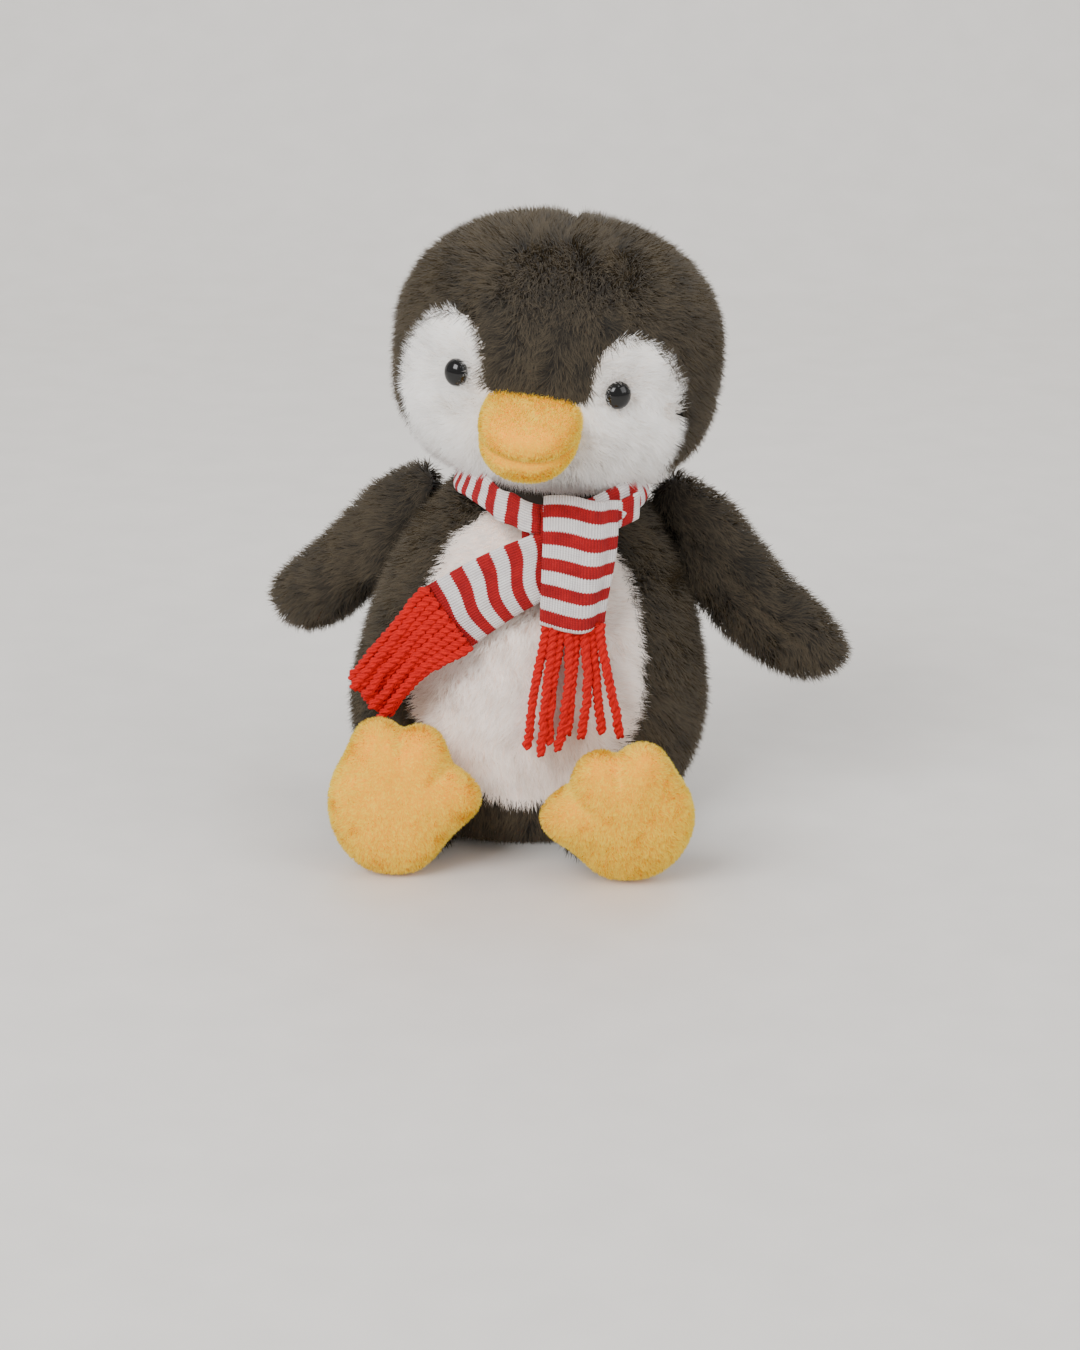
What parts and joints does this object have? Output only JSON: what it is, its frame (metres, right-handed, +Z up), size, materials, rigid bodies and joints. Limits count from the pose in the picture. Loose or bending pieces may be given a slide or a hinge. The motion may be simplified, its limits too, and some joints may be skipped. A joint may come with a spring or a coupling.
{
  "type": "plush penguin",
  "caption": "Stuffed plush penguin sitting with its feet forward, with a striped fringed scarf, domed eyes, a rounded beak and two soft wings.",
  "frame": {"origin": "on the resting surface, under the middle of the seat panel", "axes": "+Z up along the sitting height, the face and belly towards -Y, the left wing of the picture towards -X"},
  "size_m": [0.2051, 0.1482, 0.2224],
  "materials": {
    "dark_fur": "long soft pile, dark brown",
    "face_fur": "soft pile, warm white",
    "belly_fur": "soft pile, pale cream",
    "yellow_plush": "short dense pile, yellow",
    "striped_knit": "fine ribbed knit in red and white stripes",
    "red_yarn": "soft plied yarn, red",
    "eye_black": "polished black",
    "washer": "plain white",
    "filling": "loose polyester fibre"
  },
  "bodies": {
    "body": {"body_side_left": "dark_fur", "body_side_right": "dark_fur", "belly_panel": "belly_fur", "base_panel": "dark_fur", "bean_pouch": "filling", "body_filling": "filling", "closing_thread": "dark_fur", "ankle_left": "dark_fur", "ankle_right": "dark_fur", "scarf_neck_band": "striped_knit", "scarf_crossing": "striped_knit"},
    "neck": {"neck_filling": "filling"},
    "head": {"hood_left": "dark_fur", "hood_right": "dark_fur", "face_panel": "face_fur", "head_filling": "filling", "eye_left": "eye_black", "eye_right": "eye_black", "eye_washer_left": "washer", "eye_washer_right": "washer", "beak_upper": "yellow_plush", "beak_lower": "yellow_plush", "beak_filling": "filling"},
    "wing_left": {"wing_left_front": "dark_fur", "wing_left_back": "dark_fur", "wing_left_filling": "filling"},
    "wing_right": {"wing_right_front": "dark_fur", "wing_right_back": "dark_fur", "wing_right_filling": "filling"},
    "foot_left": {"foot_left_sole": "yellow_plush", "foot_left_top": "yellow_plush", "foot_left_filling": "filling"},
    "foot_right": {"foot_right_sole": "yellow_plush", "foot_right_top": "yellow_plush", "foot_right_filling": "filling"},
    "front_tail": {"scarf_front_tail": "striped_knit", "fringe_front": "red_yarn"},
    "side_tail": {"scarf_side_tail": "striped_knit", "fringe_side": "red_yarn"}
  },
  "joints": [
    {"name": "head_nod", "type": "hinge", "parent": "body", "child": "neck", "pos_m": [0.0046, -0.003, 0.124], "axis": [1, 0, 0], "range_deg": [-8, 8], "stiffness_Nm_per_rad": 0.5},
    {"name": "head_turn", "type": "hinge", "parent": "neck", "child": "head", "pos_m": [0.0046, -0.003, 0.124], "axis": [0.0872, 0, 0.9962], "range_deg": [-20, 20], "stiffness_Nm_per_rad": 0.3},
    {"name": "wing_left_swing", "type": "hinge", "parent": "body", "child": "wing_left", "pos_m": [-0.0482, 0.016, 0.104], "axis": [0.4294, 0, 0.9031], "range_deg": [-4, 75], "stiffness_Nm_per_rad": 0.06},
    {"name": "wing_right_swing", "type": "hinge", "parent": "body", "child": "wing_right", "pos_m": [0.0601, -0.002, 0.104], "axis": [-0.2661, 0, 0.9639], "range_deg": [-30, 45], "stiffness_Nm_per_rad": 0.06},
    {"name": "foot_left_tilt", "type": "hinge", "parent": "body", "child": "foot_left", "pos_m": [-0.0468, -0.066, 0.0125], "axis": [1, 0, 0], "range_deg": [-4, 25], "stiffness_Nm_per_rad": 0.06},
    {"name": "foot_right_tilt", "type": "hinge", "parent": "body", "child": "foot_right", "pos_m": [0.0322, -0.073, 0.0125], "axis": [1, 0, 0], "range_deg": [-4, 25], "stiffness_Nm_per_rad": 0.06},
    {"name": "front_tail_lift", "type": "hinge", "parent": "body", "child": "front_tail", "pos_m": [0.016, -0.05, 0.1125], "axis": [-1, 0, 0], "range_deg": [0, 70]},
    {"name": "side_tail_lift", "type": "hinge", "parent": "body", "child": "side_tail", "pos_m": [-0.0064, -0.05, 0.107], "axis": [-0.613, 0, 0.7901], "range_deg": [0, 35]}
  ]
}
